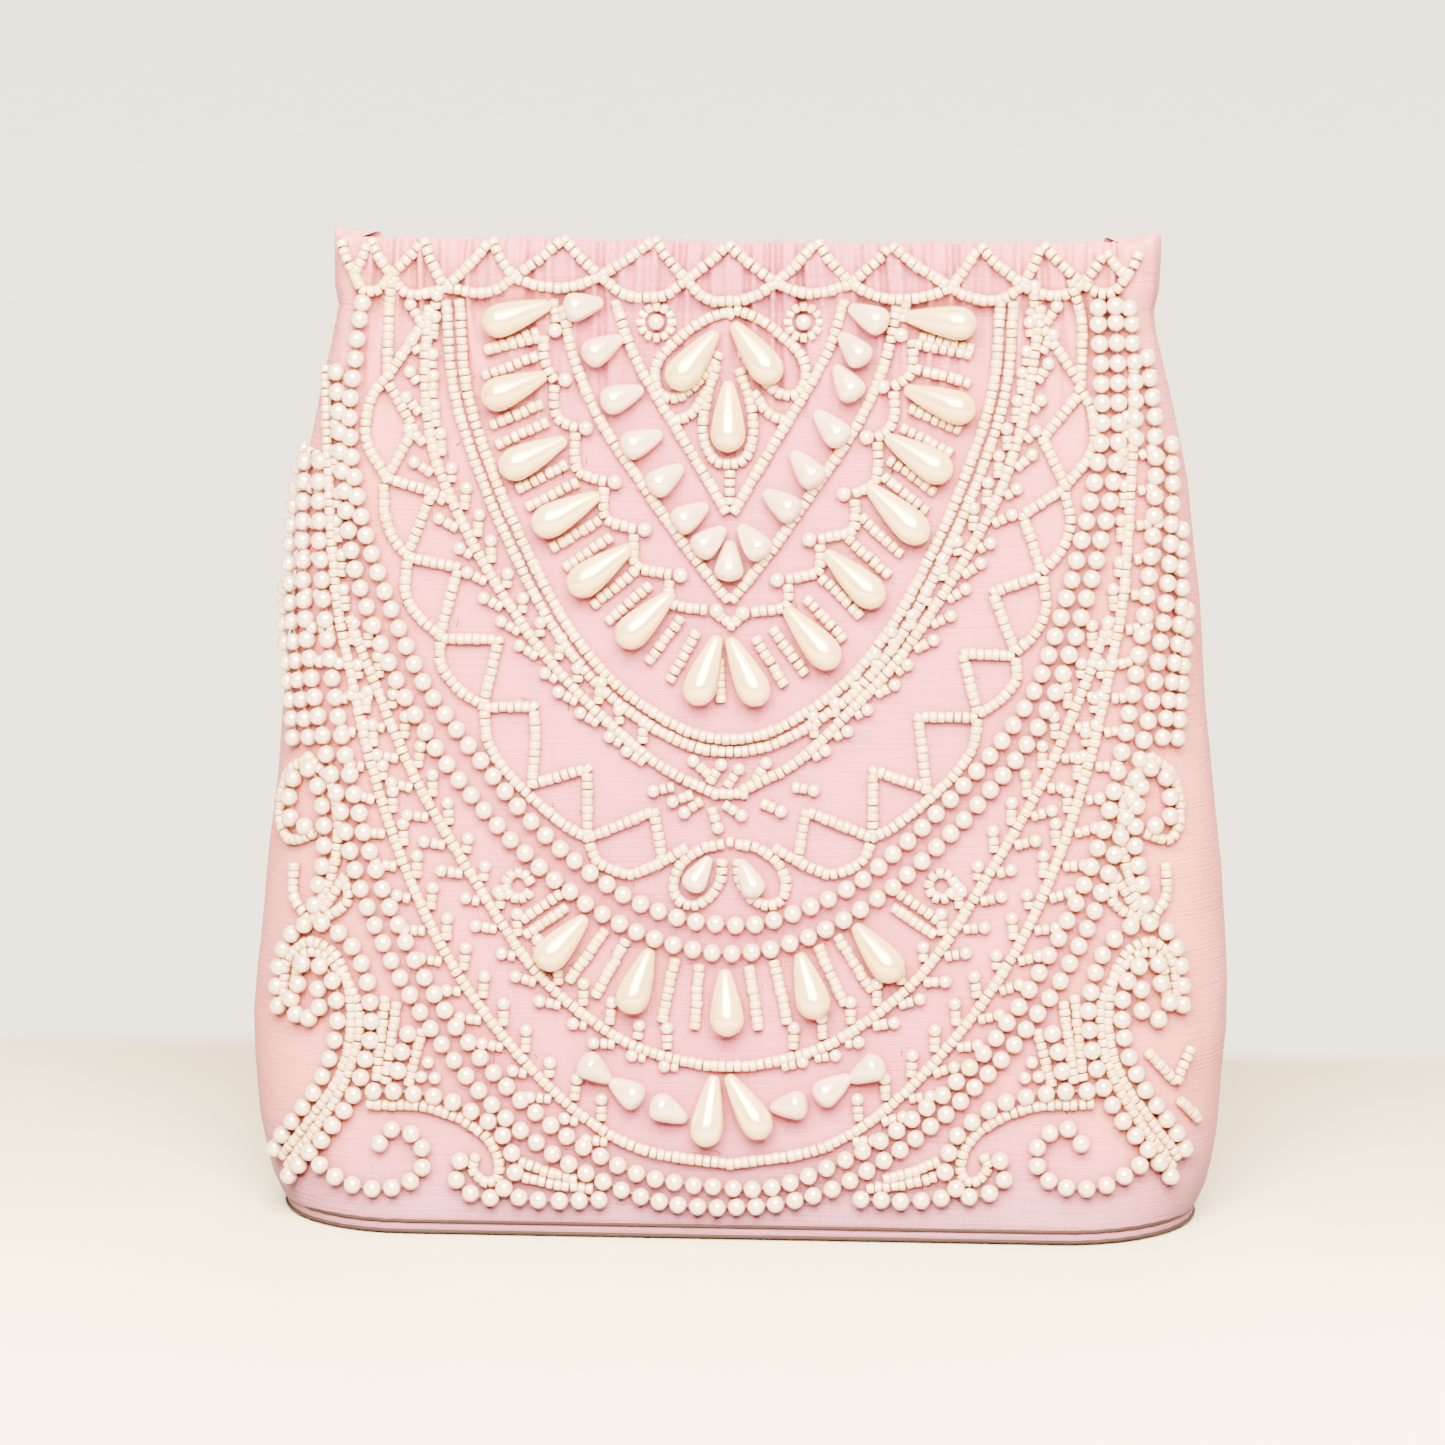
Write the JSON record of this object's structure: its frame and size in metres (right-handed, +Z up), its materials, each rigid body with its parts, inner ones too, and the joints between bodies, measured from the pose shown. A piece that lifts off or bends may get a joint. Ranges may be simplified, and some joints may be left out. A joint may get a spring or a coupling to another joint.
{
  "type": "beaded pouch bag",
  "caption": "Small bridal pouch bag in pink silk with pearl and seed-bead embroidery, a flat rounded sole and a gathered top hem that a squeeze spring frame holds shut.",
  "frame": {"origin": "centre of the sole's underside", "axes": "+Z up through the mouth, +X along the width to the viewer's right, -Y out of the beaded front"},
  "size_m": [0.1666, 0.0491, 0.173],
  "materials": {
    "silk": "satin",
    "stiffening": "matt",
    "card": "matt",
    "lining": "satin",
    "welt": "matt",
    "spring_steel": "brushed",
    "pearl": "pearl lustre"
  },
  "bodies": {
    "base": {"sole": "silk", "base_board": "card", "base_lining": "lining", "lower_welt": "welt", "upper_welt": "welt"},
    "front_middle": {"front_panel_middle": "silk", "front_interlining_middle": "stiffening", "front_lining_middle": "lining", "fan_drops_middle": "pearl", "heart_drops_middle": "pearl", "lower_fan_drops": "pearl", "foot_drops": "pearl", "centre_foot_drops": "pearl", "trefoil_drops": "pearl"},
    "front_left": {"front_panel_left": "silk", "front_interlining_left": "stiffening", "front_lining_left": "lining", "front_hem_left": "silk", "front_strip_left": "spring_steel", "end_pin_left": "spring_steel", "fan_drops_left": "pearl", "heart_drops_left": "pearl"},
    "front_right": {"front_panel_right": "silk", "front_interlining_right": "stiffening", "front_lining_right": "lining", "front_hem_right": "silk", "front_strip_right": "spring_steel", "end_pin_right": "spring_steel", "fan_drops_right": "pearl", "heart_drops_right": "pearl"},
    "back_middle": {"back_panel_middle": "silk", "back_interlining_middle": "stiffening", "back_lining_middle": "lining"},
    "back_left": {"back_panel_left": "silk", "back_interlining_left": "stiffening", "back_lining_left": "lining", "back_hem_left": "silk", "back_strip_left": "spring_steel"},
    "back_right": {"back_panel_right": "silk", "back_interlining_right": "stiffening", "back_lining_right": "lining", "back_hem_right": "silk", "back_strip_right": "spring_steel"},
    "left_side": {"gusset_left": "silk", "gusset_lining_left": "lining", "ear_left": "silk"},
    "right_side": {"gusset_right": "silk", "gusset_lining_right": "lining", "ear_right": "silk"}
  },
  "joints": [
    {"name": "mouth_squeeze", "type": "hinge", "parent": "base", "child": "front_middle", "pos_m": [0, -0.0212, 0.003], "axis": [1, 0, 0], "range_deg": [0, 9], "stiffness_Nm_per_rad": 0.6, "springref_deg": -2.86},
    {"name": "front_left_bow", "type": "hinge", "parent": "front_middle", "child": "front_left", "pos_m": [-0.058, -0.0212, 0.003], "axis": [0.3336, 0.0978, 0.9376], "range_deg": [-24.59, 0]},
    {"name": "front_right_bow", "type": "hinge", "parent": "front_middle", "child": "front_right", "pos_m": [0.058, -0.0212, 0.003], "axis": [-0.3336, 0.0978, 0.9376], "range_deg": [0, 24.59]},
    {"name": "back_lean", "type": "hinge", "parent": "base", "child": "back_middle", "pos_m": [0, 0.0212, 0.003], "axis": [1, 0, 0], "range_deg": [-9.1, 0]},
    {"name": "back_left_bow", "type": "hinge", "parent": "back_middle", "child": "back_left", "pos_m": [-0.058, 0.0212, 0.003], "axis": [0.3336, -0.0978, 0.9376], "range_deg": [0, 24.59]},
    {"name": "back_right_bow", "type": "hinge", "parent": "back_middle", "child": "back_right", "pos_m": [0.058, 0.0212, 0.003], "axis": [-0.3336, -0.0978, 0.9376], "range_deg": [-24.59, 0]},
    {"name": "left_gusset_lean", "type": "hinge", "parent": "base", "child": "left_side", "pos_m": [-0.068, 0, 0.003], "axis": [0, 1, 0], "range_deg": [0, 2.21]},
    {"name": "right_gusset_lean", "type": "hinge", "parent": "base", "child": "right_side", "pos_m": [0.068, 0, 0.003], "axis": [0, 1, 0], "range_deg": [-2.21, 0]}
  ],
  "couplings": [
    {"joint": "front_left_bow", "follows": "mouth_squeeze", "ratio": -2.71},
    {"joint": "front_right_bow", "follows": "mouth_squeeze", "ratio": 2.71},
    {"joint": "back_lean", "follows": "mouth_squeeze", "ratio": -1},
    {"joint": "back_left_bow", "follows": "mouth_squeeze", "ratio": 2.71},
    {"joint": "back_right_bow", "follows": "mouth_squeeze", "ratio": -2.71},
    {"joint": "left_gusset_lean", "follows": "mouth_squeeze", "ratio": 0.234},
    {"joint": "right_gusset_lean", "follows": "mouth_squeeze", "ratio": -0.234}
  ]
}
